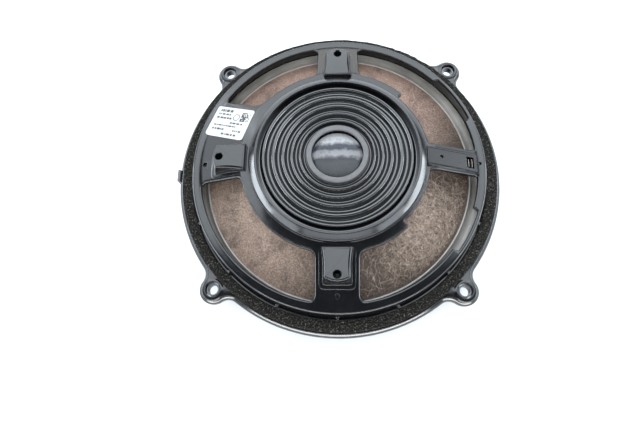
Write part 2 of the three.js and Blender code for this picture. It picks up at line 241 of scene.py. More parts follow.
def cut(target, cutters):
    """Takes closed cutter objects out of the target and removes them."""
    for cutter in cutters:
        modifier = target.modifiers.new("cut", "BOOLEAN")
        modifier.operation = "DIFFERENCE"
        modifier.solver = "MANIFOLD"
        modifier.object = cutter
    graph = bpy.context.evaluated_depsgraph_get()
    mesh = bpy.data.meshes.new_from_object(target.evaluated_get(graph))
    target.modifiers.clear()
    target.data = mesh
    for cutter in cutters:
        bpy.data.objects.remove(cutter)
    mesh.polygons.foreach_set("use_smooth", [True] * len(mesh.polygons))
    mesh.set_sharp_from_angle(angle=math.radians(SMOOTH))
    return target


def join(name, objs):
    with bpy.context.temp_override(active_object=objs[0], selected_editable_objects=objs):
        bpy.ops.object.join()
    objs[0].name = name
    return objs[0]


# ---------------------------------------------------------------- materials
class Nodes:
    """Procedural material whose textures lie in the object's own space, in mm."""

    def __init__(self, name, base, roughness, metallic=0.0, specular=0.5):
        self.material = bpy.data.materials.new(name)
        self.material.use_nodes = True
        self.tree = self.material.node_tree
        self.shader = self.tree.nodes["Principled BSDF"]
        self.shader.inputs["Base Color"].default_value = (*base, 1)
        self.shader.inputs["Roughness"].default_value = roughness
        self.shader.inputs["Metallic"].default_value = metallic
        self.shader.inputs["Specular IOR Level"].default_value = specular
        where = self.add("ShaderNodeTexCoord")
        scaled = self.add("ShaderNodeVectorMath", operation="SCALE")
        scaled.inputs["Scale"].default_value = 1 / MM
        self.link(where.outputs["Object"], scaled.inputs[0])
        self.space = scaled.outputs[0]
        self.normal = None

    def add(self, kind, **settings):
        node = self.tree.nodes.new(kind)
        for key, value in settings.items():
            setattr(node, key, value)
        return node

    def link(self, a, b):
        self.tree.links.new(a, b)

    def noise(self, scale, detail=3.0, rough=0.55, stretch=None, distortion=0.0):
        node = self.add("ShaderNodeTexNoise")
        node.inputs["Scale"].default_value = scale
        node.inputs["Detail"].default_value = detail
        node.inputs["Roughness"].default_value = rough
        node.inputs["Distortion"].default_value = distortion
        source = self.space
        if stretch:
            mapping = self.add("ShaderNodeMapping")
            mapping.inputs["Scale"].default_value = stretch
            self.link(source, mapping.inputs["Vector"])
            source = mapping.outputs[0]
        self.link(source, node.inputs["Vector"])
        return node.outputs["Fac"]

    def ramp(self, source, stops):
        node = self.add("ShaderNodeValToRGB")
        ramp = node.color_ramp
        while len(ramp.elements) < len(stops):
            ramp.elements.new(0.5)
        for element, (position, color) in zip(ramp.elements, stops):
            element.position = position
            element.color = (*color, 1)
        self.link(source, node.inputs["Fac"])
        return node.outputs["Color"]

    def span(self, source, low, high, from_low=0.3, from_high=0.7):
        node = self.add("ShaderNodeMapRange")
        node.inputs["From Min"].default_value = from_low
        node.inputs["From Max"].default_value = from_high
        node.inputs["To Min"].default_value = low
        node.inputs["To Max"].default_value = high
        self.link(source, node.inputs["Value"])
        return node.outputs["Result"]

    def math(self, operation, a, b):
        node = self.add("ShaderNodeMath", operation=operation)
        for socket, value in ((node.inputs[0], a), (node.inputs[1], b)):
            if isinstance(value, (int, float)):
                socket.default_value = value
            else:
                self.link(value, socket)
        return node.outputs[0]

    def mix(self, factor, a, b):
        node = self.add("ShaderNodeMix", data_type="RGBA", blend_type="MIX")
        self.link(factor, node.inputs[0])
        for socket, value in ((node.inputs[6], a), (node.inputs[7], b)):
            if isinstance(value, tuple):
                socket.default_value = (*value, 1)
            else:
                self.link(value, socket)
        return node.outputs[2]

    def color(self, source):
        self.link(source, self.shader.inputs["Base Color"])
        return self

    def roughness(self, source):
        self.link(source, self.shader.inputs["Roughness"])
        return self

    def rounded(self, radius_mm):
        node = self.add("ShaderNodeBevel", samples=6)
        node.inputs["Radius"].default_value = radius_mm * MM
        self.normal = node.outputs[0]
        self.link(self.normal, self.shader.inputs["Normal"])
        return self

    def bump(self, source, strength, distance_mm):
        node = self.add("ShaderNodeBump")
        node.inputs["Strength"].default_value = strength
        node.inputs["Distance"].default_value = distance_mm * MM
        self.link(source, node.inputs["Height"])
        if self.normal:
            self.link(self.normal, node.inputs["Normal"])
        self.normal = node.outputs[0]
        self.link(self.normal, self.shader.inputs["Normal"])
        return self


def moulded_black(name="basket_plastic", edge=0.45):
    m = Nodes(name, (0.003, 0.0032, 0.0037), 0.2, specular=0.55)
    m.rounded(edge)
    broad = m.noise(0.05, 4)
    m.color(m.ramp(broad, [(0.3, (0.0020, 0.0021, 0.0025)), (0.7, (0.0038, 0.0041, 0.0047))]))
    m.roughness(m.span(m.noise(0.3, 5), 0.13, 0.19))
    m.bump(m.noise(1.4, 3), 0.05, 0.004)
    return m.material


def foam():
    m = Nodes("gasket_foam", (0.02, 0.019, 0.017), 0.95, specular=0.15)
    grain = m.noise(0.9, 6, 0.75)
    m.color(m.ramp(grain, [
        (0.4, (0.0012, 0.0012, 0.0011)), (0.5, (0.005, 0.0048, 0.0043)),
        (0.58, (0.024, 0.023, 0.019)), (0.68, (0.19, 0.18, 0.16))]))
    m.bump(grain, 1.0, 0.8)
    return m.material


def spider_cloth():
    m = Nodes("spider_cloth", (0.002, 0.002, 0.0023), 0.16, specular=0.85)
    weave = m.noise(1.1, 4, 0.6)
    m.color(m.ramp(weave, [(0.35, (0.0012, 0.0012, 0.0014)), (0.7, (0.003, 0.003, 0.0034))]))
    m.roughness(m.span(weave, 0.13, 0.19))
    m.bump(m.noise(2.0, 2), 0.04, 0.005)
    return m.material


def collar_plastic():
    m = Nodes("collar_plastic", (0.15, 0.152, 0.158), 0.45)
    m.rounded(0.25)
    m.color(m.ramp(m.noise(0.25, 4), [(0.3, (0.055, 0.056, 0.058)), (0.7, (0.075, 0.076, 0.079))]))
    m.roughness(m.span(m.noise(0.8, 3), 0.4, 0.55))
    m.bump(m.noise(3, 2), 0.1, 0.03)
    return m.material


def cap_gloss():
    """Mottled gloss coat with two pale wavy bands across Y, which are painted reflections of
    overhead lights.
    """
    m = Nodes("cap_gloss", (0.03, 0.033, 0.038), 0.3, specular=0.3)
    blotch = m.noise(0.35, 6, 0.7)
    across = m.add("ShaderNodeSeparateXYZ")
    m.link(m.space, across.inputs[0])
    wave = m.math("ADD", across.outputs["Y"], m.math("MULTIPLY", m.noise(0.12, 5, 0.7), 9.0))
    # Painted reflection: the two pale bands in this ramp stand in for overhead lights mirrored in
    # the cap.
    painted_reflection_bands = m.ramp(m.span(wave, 0.0, 1.0, -12.0, 20.0), [
        (0.0, (0.018, 0.020, 0.021)), (0.36, (0.020, 0.023, 0.025)), (0.42, (0.010, 0.011, 0.016)),
        (0.52, (0.15, 0.153, 0.157)), (0.60, (0.13, 0.133, 0.14)), (0.66, (0.012, 0.014, 0.022)),
        (0.74, (0.022, 0.025, 0.033)), (0.82, (0.24, 0.245, 0.25)), (1.0, (0.2, 0.208, 0.215))])
    m.color(m.mix(m.span(blotch, 0.0, 0.5, 0.5, 0.75), painted_reflection_bands, (0.012, 0.014, 0.02)))
    m.roughness(m.span(blotch, 0.2, 0.4))
    m.bump(m.noise(0.4, 4), 0.2, 0.03)
    return m.material


def cone_paper():
    """Pressed pulp: tan, russet towards +Y as painted bounce light, and dark towards the corner at
    +X -Y, with smudges.
    """
    m = Nodes("cone_paper", (0.25, 0.18, 0.15), 0.9, specular=0.2)
    pulp = m.noise(0.9, 8, 0.75)

    def tint(low, middle, high):
        return m.ramp(pulp, [(0.32, low), (0.5, middle), (0.68, high)])

    tan = tint((0.09, 0.064, 0.05), (0.183, 0.135, 0.107), (0.34, 0.264, 0.218))
    painted_bounce_russet = tint((0.09, 0.055, 0.042), (0.175, 0.118, 0.093), (0.31, 0.22, 0.182))
    dark = tint((0.022, 0.016, 0.013), (0.06, 0.045, 0.036), (0.155, 0.12, 0.1))
    apart = m.add("ShaderNodeSeparateXYZ")
    m.link(m.space, apart.inputs[0])
    x, y = apart.outputs["X"], apart.outputs["Y"]
    uneven = m.math("MULTIPLY", m.noise(0.04, 5, 0.65), 60.0)
    # Painted bounce light: the pulp turns russet towards +Y, where reddish bounced light falls.
    high = m.span(m.math("ADD", y, uneven), 0.0, 1.0, 20.0, 70.0)
    lean = m.math("SUBTRACT", x, m.math("MULTIPLY", y, 0.8))
    corner = m.span(m.math("ADD", lean, uneven), 0.0, 1.0, 35.0, 100.0)
    base = m.mix(corner, m.mix(high, tan, painted_bounce_russet), dark)
    smudge = m.noise(0.06, 8, 0.75, distortion=0.6)
    m.color(m.mix(m.span(smudge, 0.0, 0.7, 0.5, 0.66), base, (0.04, 0.034, 0.033)))
    m.bump(m.noise(1.3, 6, 0.7), 0.6, 0.25)
    return m.material


def pale_fibre():
    m = Nodes("pale_fibre", (0.62, 0.55, 0.49), 0.7, specular=0.3)
    m.color(m.ramp(m.noise(0.4, 3), [(0.3, (0.26, 0.198, 0.155)), (0.7, (0.5, 0.41, 0.335))]))
    return m.material


def surround_rubber():
    m = Nodes("surround_rubber", (0.27, 0.26, 0.24), 0.42, specular=0.5)
    haze = m.noise(0.08, 4)
    m.color(m.ramp(haze, [(0.3, (0.23, 0.222, 0.205)), (0.7, (0.32, 0.31, 0.288))]))
    m.roughness(m.span(m.noise(0.7, 4), 0.36, 0.5))
    m.bump(m.noise(2.2, 3), 0.12, 0.03)
    return m.material


def plated_steel(name="plated_steel", base=(0.42, 0.42, 0.43), rough=0.32):
    m = Nodes(name, base, rough, metallic=1.0)
    m.rounded(0.15)
    m.color(m.ramp(m.noise(0.6, 4), [(0.3, tuple(c * 0.8 for c in base)), (0.7, base)]))
    m.roughness(m.span(m.noise(1.5, 4, stretch=(1, 1, 6)), rough - 0.08, rough + 0.12))
    m.bump(m.noise(3.5, 2), 0.1, 0.02)
    return m.material


def copper_wire():
    m = Nodes("copper_wire", (0.45, 0.17, 0.07), 0.3, metallic=1.0)
    turns = m.noise(1.0, 1, stretch=(0.02, 0.02, 3.2))
    m.color(m.ramp(turns, [(0.35, (0.30, 0.10, 0.04)), (0.6, (0.60, 0.26, 0.12))]))
    m.bump(turns, 0.8, 0.25)
    return m.material


def label_paper():
    m = Nodes("label_paper", (0.55, 0.555, 0.545), 0.55, specular=0.35)
    m.color(m.ramp(m.noise(0.12, 3), [(0.3, (0.35, 0.357, 0.348)), (0.7, (0.40, 0.407, 0.398))]))
    m.bump(m.noise(0.2, 3), 0.2, 0.15)
    return m.material


def label_ink():
    m = Nodes("label_ink", (0.12, 0.12, 0.125), 0.6)
    m.color(m.ramp(m.noise(1.6, 3), [(0.35, (0.012, 0.012, 0.014)), (0.7, (0.05, 0.05, 0.055))]))
    return m.material


BLACK = moulded_black()
FRONT_BLACK = moulded_black("front_plastic", 0.3)
STEEL = plated_steel()
DARK_STEEL = plated_steel("sleeve_steel", (0.14, 0.143, 0.15), 0.3)
BRIGHT = plated_steel("bright_metal", (0.62, 0.62, 0.64), 0.22)
LEAD_METAL = plated_steel("lead_copper", (0.55, 0.30, 0.17), 0.35)


# ---------------------------------------------------------------- basket
def flange_outline():
    """Round flange with four ears, counter-clockwise, starting at the first ear."""
    far, near = FLANGE_R + EAR_FILLET, EAR_R + EAR_FILLET
    half = math.acos((far ** 2 + EAR_REACH ** 2 - near ** 2) / (2 * far * EAR_REACH))
    cx, cy = far * math.cos(half), far * math.sin(half)
    to_rim = math.atan2(-cy, -cx)
    to_ear = math.atan2(-cy, EAR_REACH - cx)
    turn = math.atan2(cy, cx - EAR_REACH)
    upper, nose = [], []
    for i in range(15):
        a = to_ear + (to_rim - to_ear) * i / 14
        upper.append((cx + EAR_FILLET * math.cos(a), cy + EAR_FILLET * math.sin(a)))
    for i in range(1, 30):
        a = -turn + 2 * turn * i / 30
        nose.append((EAR_REACH + EAR_R * math.cos(a), EAR_R * math.sin(a)))
    lower = [(x, -y) for x, y in reversed(upper)]
    start = math.degrees(half)
    rim = arc(FLANGE_R, start, 90 - start, 70)[1:-1]
    outline = []
    for quarter in range(4):
        c, s = polar(1, 45 + 90 * quarter)
        for x, y in lower + nose + upper + rim:
            outline.append((x * c - y * s, x * s + y * c))
    return outline


def flange_part():
    """Flange with a rounded outer edge and a hollow underside, as one closed ring."""
    outline = flange_outline()
    circle = [math.hypot(x, y) for x, y in outline]

    def ring(radius):
        return [(x / r * radius, y / r * radius) for (x, y), r in zip(outline, circle)]

    rounding = [(3.0, 0.0), (2.6, 0.08), (2.2, 0.38), (0.75, 1.8), (0.35, 2.35), (0.1, 2.95),
                (0.0, 3.6)]
    loops = [(ring(101.6), FLANGE_TOP), (ring(108.0), FLANGE_TOP)]
    loops += [(inset(outline, d), FLANGE_TOP - h) for d, h in rounding]
    loops += [(outline, SKIRT_Z + 0.6), (inset(outline, 0.6), SKIRT_Z), (ring(111.6), SKIRT_Z)]
    loops += [(ring(111.6), 22.7), (ring(100.65), 22.7), (ring(100.55), 23.6)]
    n = len(outline)
    verts = [(x, y, z) for loop, z in loops for x, y in loop]
    faces = []
    for i in range(len(loops)):
        k = (i + 1) % len(loops)
        for j in range(n):
            m = (j + 1) % n
            faces.append((i * n + j, i * n + m, k * n + m, k * n + j))
    return oriented(verts, faces)


def window_outlines():
    """The four windows between the spokes; the two on the right have notches at hub and rim."""
    def bow(radius, start, end, steps):
        return [(x, y, 0) for x, y in arc(radius, start, end, steps)]

    top_left = [
        (-14.5, 63.2, 4), *bow(HUB_R, 112, 135, 8), (-54.2, 39.6, 4), (-80.4, 49.4, 4),
        *bow(WINDOW_R, 142, 106, 14), (-14.5, 92.7, 5)]
    low_left = [
        (-63.4, -13.4, 4), *bow(HUB_R, 200, 249, 14), (-14.2, -63.3, 4), (-14.2, -92.9, 5),
        *bow(WINDOW_R, 254, 194, 20), (-93, -13.4, 5)]
    low_right = [
        (14.2, -63.3, 4), *bow(HUB_R, 291, 311, 8), (44.8, -46.6, 2.4), (41.7, -43.4, 1.5),
        *bow(60.6, 318, 349, 12), (60.4, -8.6, 1.5), (93.5, -8.6, 4), *bow(WINDOW_R, 352, 341, 4),
        *bow(97.5, 340, 322.5, 7), *bow(WINDOW_R, 321.5, 287, 12), (14.2, -92.9, 5)]
    top_right = [
        (60.2, 9.8, 1.5), *bow(60.6, 12, 45, 12), (41.5, 44.4, 1.5), (44.4, 47.4, 2.4),
        *bow(HUB_R, 50, 69, 8), (14.5, 63.2, 4), (14.5, 92.7, 5), *bow(WINDOW_R, 74, 43.5, 11),
        *bow(97.5, 42.5, 21, 8), *bow(WINDOW_R, 20, 9, 4), (93.4, 9.8, 4)]
    windows = (top_left, low_left, low_right, top_right)
    return [counter_clockwise(resampled(filleted(o, 6))) for o in windows]


def window_tool(outline):
    """Cutter whose mouth flares out along the plate, so that the window's edge is rounded."""
    flare = [(0.0, 1.1), (-0.12, 0.62), (-0.42, 0.24), (-0.85, 0.03), (-1.1, -0.03)]
    levels = [[(x, y, 30.0) for x, y in outline]]
    for distance, depth in flare:
        loop = inset(outline, distance)
        levels.append([(x, y, plate_z(math.hypot(x, y)) - depth) for x, y in loop])
    levels.append([(x, y, TOOL_TOP) for x, y in loop])
    return lofted(levels)


def shell_profile():
    """Turned body of the basket: brim, chamfer, hub, sloping plate, rim, and the inside back."""
    return filleted([
        (BRIM_R, BRIM_Z, 0.2), (54.0, BRIM_Z, 0.2), (57.8, 56.4, 0.3), (58.3, HUB_Z + 1.1, 0.4),
        (HUB_R, HUB_Z, 0.8), (WINDOW_R, PLATE_Z + WINDOW_RISE, 3.0), (99.3, PLATE_Z, 0.7),
        (100.2, 39.1, 0.7), (101.6, FLANGE_TOP + 1, 0.7), (102.0, FLANGE_TOP - 0.4, 0),
        (100.9, 23.0, 0), (98.9, 38.5, 1.0), (WINDOW_R, 38.2, 0.5), (HUB_R, 50.1, 1.5),
        (50.0, 50.3, 0.4), (50.0, 54.3, 0.2), (BRIM_R, 54.3, 0.2),
    ])


def even(outline, count=96):
    """Closed outline resampled to a fixed number of evenly spaced points from its first one."""
    lengths = [math.dist(a, b) for a, b in zip(outline, outline[1:] + outline[:1])]
    total = sum(lengths)
    out, i, gone = [], 0, 0.0
    for k in range(count):
        want = total * k / count
        while gone + lengths[i] < want and i < len(outline) - 1:
            gone += lengths[i]
            i += 1
        t = (want - gone) / (lengths[i] or 1)
        a, b = outline[i], outline[(i + 1) % len(outline)]
        out.append((a[0] + (b[0] - a[0]) * t, a[1] + (b[1] - a[1]) * t))
    return out


def pad_part():
    """One raised pad on the +X spoke position, with a bowed lip and rounded upper edges."""
    base = filleted([(60.4, -10.0, 1.0), (69.0, -9.0, 5), (82.9, -9.3, 2.0), (82.9, 9.3, 2.0),
                     (69.0, 9.0, 5), (60.4, 10.0, 1.0)], 6)
    side = [(60.8, 9.5, 1.0), (63.5, 8.9, 4), (69.5, 8.1, 6), (80.0, 8.2, 1.2)]
    mirrored = [(x, -y, r) for x, y, r in side]
    lip = [(68.3 + x, -y, 0) for x, y in arc(13.9, 29.0, -29.0, 10)]
    crown = even(filleted(mirrored + lip + side[::-1], 6))
    levels = [on_plate(even(base), -1.0), on_plate(even(base), 0.25)]
    rise = 0.75
    for d, h in ((0.0, rise), (0.06, 0.7 * rise), (0.24, 0.47 * rise), (0.44, 0.24 * rise),
                 (0.62, 0.07 * rise), (rise, 0.0), (rise + 0.35, 0.0), (rise + 0.7, 0.0)):
        levels.append([(x, y, PAD_TOP - h) for x, y in inset(crown, d)])
    return lofted(levels)


def plinth_part():
    """Shallow step in the plate around a pad."""
    outline = even(filleted([(61.5, -11.4, 0), (85.4, -11.4, 3.4), (85.4, 11.4, 3.4),
                             (61.5, 11.4, 0)], 6))
    steps = ((0.0, -0.8), (0.0, 0.02), (0.5, 0.1), (1.0, 0.14))
    return lofted([on_plate(inset(outline, d), h) for d, h in steps])


def channel_part():
    """Raised wiring channel on the right spoke, falling from the hub to the rim."""
    base = even([(58.6, -7.6), (94.6, -7.2), (94.6, 7.2), (58.6, 7.6)], 120)
    crown = even(filleted([(58.2, -6.6, 0), (94.5, -6.8, 0.8), (94.5, 6.8, 0.8),
                           (58.2, 6.6, 0)]), 120)

    def top(x):
        return PLATE_Z + 16.4 - (x - 58.0) * 16.2 / 36.5

    levels = [on_plate(base, -1.0), on_plate(base, 0.1)]
    for d, h in ((0.0, 0.9), (0.1, 0.45), (0.35, 0.14), (0.8, 0.0), (1.1, 0.0), (1.4, 0.0)):
        levels.append([(x, y, top(x) - h) for x, y in inset(crown, d)])
    return lofted(levels)


def hole_tool(x, y, radius, z_top, flare, low=30.0):
    """Round cutter from a low height up, wider above z_top so that the hole's edge is soft."""
    wide = radius + 0.55 * flare
    profile = [(0.0, low), (radius, low), (radius, z_top - flare),
               (radius + 0.14 * flare, z_top - 0.5 * flare), (wide, z_top), (wide, TOOL_TOP),
               (0.0, TOOL_TOP)]
    return moved(lathe(profile, 40), x, y)


def tool(part):
    return build("tool", [part], BLACK)


def make_basket():
    shell = build("basket_body", [lathe(shell_profile(), 360)], BLACK)
    slot = lofted([[(86, -4, z), (91.4, -4, z), (91.4, 4, z), (86, 4, z)] for z in (30, 70)])
    small = [(-91.0, 0.0, 1.5, 41.6), (68.0, 0.4, 1.2, 53.0), (95.8, 0.4, 1.1, 40.4)]
    bore = lathe([(0.0, 45.0), (BRIM_R + 0.6, 45.0), (BRIM_R + 0.6, TOOL_TOP), (0.0, TOOL_TOP)],
                 180)
    dish, dish_faces = moved(lathe([(0.0, -0.12), (0.8, -0.12), (1.5, -0.12), (1.62, 0.3),
                                    (1.62, 3.0), (0.0, 3.0)], 32), 0, -DIMPLE_REACH)
    dimple = [(x, y, z + plate_z(DIMPLE_REACH) + DIMPLE_TILT * (y + DIMPLE_REACH))
              for x, y, z in dish], dish_faces

    def small_tools():
        return [tool(hole_tool(x, y, r, z + 0.4, 0.5)) for x, y, r, z in small]

    def pad_tools():
        spots = [polar(PAD_HOLE_REACH, a) for a in PAD_ANGLES]
        return [tool(hole_tool(x, y, 2.1, PAD_TOP, 1.3, 46.0)) for x, y in spots]

    cut(shell, [tool(window_tool(o)) for o in window_outlines()])
    cut(shell, small_tools() + [tool(slot), tool(dimple)])
    raised = []
    for degrees in PAD_ANGLES:
        pad = build("pad", [turned_by(pad_part(), degrees)], BLACK)
        raised.append(cut(pad, [tool(bore)] + pad_tools()))
        plinth = build("plinth", [turned_by(plinth_part(), degrees)], BLACK)
        raised.append(cut(plinth, [tool(bore)]))
    channel = build("channel", [channel_part()], BLACK)
    raised.append(cut(channel, [tool(bore), tool(slot)] + small_tools()))
    flange = build("flange", [flange_part()], BLACK)
    ears = [polar(EAR_REACH, 45 + 90 * k) for k in range(4)]
    hole = lathe([(0.0, 5.0), (EAR_HOLE_R, 5.0), (EAR_HOLE_R, 45.0), (0.0, 45.0)], 64)
    cut(flange, [tool(moved(hole, x, y)) for x, y in ears])
    boss = lathe(filleted([
        (EAR_HOLE_R, FLANGE_TOP - 1, 0), (EAR_HOLE_R, FLANGE_TOP + 0.6, 0.6),
        (6.0, FLANGE_TOP + 0.55, 0.9), (7.3, FLANGE_TOP + 0.02, 0.9),
        (7.6, FLANGE_TOP - 1, 0)]), 64)
    bosses = [moved(boss, x, y) for x, y in ears]
    rib = lofted([[(100.2, -1.0, z), (102.6, -1.0, z), (102.6, 1.0, z), (100.2, 1.0, z)]
                  for z in (FLANGE_TOP - 1, FLANGE_TOP + 5.4)])
    ribs = [turned_by(rib, 22.5 * k) for k in range(16)]
    extra = build("details", bosses + ribs, BLACK)
    basket = join("basket_visual", [shell, *raised, flange, extra])
    basket.data.set_sharp_from_angle(angle=math.radians(SMOOTH))
    return basket


def make_gasket():
    rng = np.random.default_rng(11)
    phases = rng.uniform(0, 2 * math.pi, 40)
    sizes = rng.uniform(0.3, 1.0, 40)

    def edge(a, k):
        """Ragged cut line, roughest towards the upper right."""
        rough = 0.10 + 0.42 * math.exp(-((math.degrees(a) % 360 - 55) / 22) ** 2)
        waves = (sizes[i] * math.sin((9 + 7 * i + 3 * k) * a + phases[i]) for i in range(22))
        return rough * sum(waves) / 6

    def wobble(a, j, r, z):
        dr = min(edge(a, 0), 0.25) if r > 106.5 else edge(a, 5) * 0.35
        if z < 27:
            return dr, 0.0
        return dr, 0.12 * math.sin(13 * a + phases[3]) + 0.1 * math.sin(29 * a + phases[7]) - 0.15

    profile = filleted([(102.8, 26.2, 0), (110.4, 26.2, 0.3), (110.3, 29.0, 0.8),
                        (102.9, 29.0, 0.8)], 4)
    ring = build("gasket_visual", [lathe(profile, 900, wobble)], foam(), 60)
    return ring


# ---------------------------------------------------------------- moving pieces
SPIDER_TURNS = [
    (20.4, 56.4), (21.7, 55.7), (24.1, 58.3), (26.9, 55.7), (29.5, 58.3), (32.4, 55.7),
    (35.2, 58.3), (38.5, 55.7), (41.6, 58.3), (45.2, 55.7), (48.4, 58.3), (51.0, 55.2),
    (52.5, 55.1)]


def make_spider():
    def ease(t):
        return 0.5 - 0.5 * math.cos(math.pi * t)

    top = []
    for (r0, z0), (r1, z1) in zip(SPIDER_TURNS, SPIDER_TURNS[1:]):
        for k in range(14):
            t = k / 14
            top.append((r0 + (r1 - r0) * t, z0 + (z1 - z0) * (0.5 * ease(t) + 0.5 * ease(ease(t)))))
    top.append(SPIDER_TURNS[-1])
    under = [(r, z - 0.55) for r, z in reversed(top)]
    return build("spider_visual", [lathe(top + under)], spider_cloth(), 70)


def roll_face(half, inner_z, outer_z, sag):
    """One face of the half roll, from its inner end to its outer end."""
    out = []
    for k in range(21):
        a = math.pi * k / 20
        chord = inner_z + (outer_z - inner_z) * k / 20
        out.append((ROLL_MID - half * math.cos(a), chord - sag * math.sin(a)))
    return out


def make_surround():
    edge = CONE_EDGE[1]
    rear = [(88.0, cone_z(88) - 1.15), (91.55, edge - 1.1), (91.55, 26.55), (91.75, 26.85),
            (92.15, 27.0), (92.55, 26.85), (92.8, 26.45)]
    rear += roll_face(3.6, edge - 0.6, edge - 0.9, 4.0)
    rear += [(100.3, edge - 1.3), (100.5, LAND_Z), (110.6, LAND_Z)]
    front = [(110.6, LAND_Z - 0.8)] + roll_face(4.3, edge - 1.9, LAND_Z - 0.8, 3.4)[::-1]
    front += [(91.0, edge - 2.1), (88.0, cone_z(88) - 2.1)]
    return build("surround_visual", [lathe(rear + front)], surround_rubber(), 50)


def make_cone():
    radii = [19.5 + (90.6 - 19.5) * k / 40 for k in range(41)]
    bead = cone_z(91)
    rear = [(18.8, 50.4), (19.1, 50.5)] + [(r, cone_z(r)) for r in radii]
    rear += [(91.0, bead + 0.15), (91.5, bead + 0.1), (91.6, bead - 0.5), (91.2, bead - 1.0)]
    front = [(r, cone_z(r) - 1.0) for r in reversed(radii)] + [(19.5, 45.6), (18.8, 45.6)]
    rng = np.random.default_rng(5)
    phase = rng.uniform(0, 6.28, 12)

    def wobble(a, j, r, z):
        if r < 24 or r > 89:
            return 0.0, 0.0
        coarse = 0.05 * math.sin(7 * a + phase[0] + r * 0.11)
        return 0.0, coarse + 0.04 * math.sin(17 * a + phase[1] - r * 0.23)

    return build("cone_visual", [lathe(rear + front, 360, wobble)], cone_paper(), 40)


def make_fibres(count=2400, step=0.55):
    """Loose pale pulp fibres lying on the cone's rear face, thickest in the lower right."""
    rng = np.random.default_rng(21)
    verts, faces = [], []
    made = 0
    while made < count:
        a = rng.uniform(0, 2 * math.pi)
        weight = 0.012 + 0.988 * math.exp(-((math.degrees(a) - 322) / 24) ** 2)
        if rng.random() > weight:
            continue
        r = math.sqrt(rng.uniform(58 ** 2, 89 ** 2))
        x, y = r * math.cos(a), r * math.sin(a)
        heading = rng.uniform(0, 2 * math.pi)
        curl = rng.normal(0, 0.05)
        length = rng.uniform(4, 12)
        half = rng.uniform(0.018, 0.05)
        line = []
        for _ in range(int(length / step)):
            radius = math.hypot(x, y)
            if not 56 < radius < 90:
                break
            line.append((x, y, cone_z(radius) + 0.16 + 0.1 * math.sin(len(line) * 0.8)))
            heading += curl + rng.normal(0, 0.08)
            x += step * math.cos(heading)
            y += step * math.sin(heading)
        if len(line) < 4:
            continue
        base = len(verts)
        for i, (px, py, pz) in enumerate(line):
            qx, qy, _ = line[min(i + 1, len(line) - 1)]
            ox, oy, _ = line[max(i - 1, 0)]
            tx, ty = qx - ox, qy - oy
            n = math.hypot(tx, ty) or 1
            sx, sy = -ty / n * half, tx / n * half
            verts += [(px + sx, py + sy, pz), (px, py, pz + half), (px - sx, py - sy, pz)]
        for i in range(base, base + 3 * (len(line) - 1), 3):
            for k in range(3):
                m = (k + 1) % 3
                faces.append((i + k, i + m, i + 3 + m, i + 3 + k))
        made += 1
    return build("cone_fibres", [(verts, faces)], pale_fibre(), 80)


def make_collar():
    profile = filleted([(16.75, 57.6, 0), (16.75, 59.3, 0.35), (19.7, 59.3, 0.5), (20.1, 58.7, 0.3),
                        (20.1, 52.5, 0.3), (18.7, 52.5, 0.1), (18.7, 57.6, 0)])
    return build("collar_visual", [lathe(profile, 160)], collar_plastic())


def make_cap():
    rear = []
    for k in range(21):
        a = math.radians(k * 4.5)
        rear.append((16.6 * math.sin(a), 54.5 + 1.9 * math.cos(a)))
    profile = [(0.0, 56.4)] + rear[1:] + [(16.6, 53.6), (10, 54.6), (0.0, 55.2)]
    return build("cap_visual", [lathe(profile, 160)], cap_gloss())


def box_ring(name, inner, outer, low, high, radius, segments, material):
    """Ring of rectangular section with one rounding on all four edges."""
    profile = filleted([(r, z, radius) for r, z in ((inner, low), (outer, low), (outer, high),
                                                    (inner, high))])
    return build(name, [lathe(profile, segments)], material)


def make_coil(turns=22):
    outer = []
    for k in range(turns):
        z = 22.4 + 15.0 * k / turns
        outer += [(19.35, z), (19.58, z + 0.34), (19.35, z + 0.66)]
    profile = [(18.5, 22.4), *outer, (18.5, 37.4)]
    return build("coil_visual", [lathe(profile, 128)], copper_wire(), 60)


# ---------------------------------------------------------------- front frame and motor
SCREW_SPOTS = [polar(108.2, 45 + 90 * k) for k in range(4)]
MOTOR_SPOTS = [polar(24, 90 * k) for k in range(4)]


def make_front_ring():
    """Clamp ring with a foot at its left edge and a pale tab that rises beside the flange."""
    body = lathe(filleted([(103.4, 8.0, 0.4), (111.2, 8.0, 0.6), (111.2, 21.5, 0.5),
                           (103.4, 21.5, 0.4)]))
    outline = counter_clockwise(even(filleted([(-115.3, -5.2, 0.8), (-110.8, -5.2, 0),
                                               (-110.8, 3.4, 0), (-115.3, 3.4, 0.8)]), 48))
    foot = [[(x, y, z) for x, y in inset(outline, d)]
            for d, z in ((0.3, 12.1), (0.0, 12.5), (0.0, 17.3), (0.3, 17.7))]
    outline = [(-115.35, -5.1), (-113.4, -5.1), (-113.4, 3.3), (-115.35, 3.3)]
    blade = [[(x, y, z) for x, y in inset(outline, d)]
             for d, z in ((0.0, 17.0), (0.0, 25.2), (0.1, 25.4), (0.2, 25.45))]
    ring = build("front_ring_body", [body, lofted(foot)], FRONT_BLACK)
    tab = build("front_ring_tab", [lofted(blade)], collar_plastic())
    return join("front_ring_visual", [ring, tab])


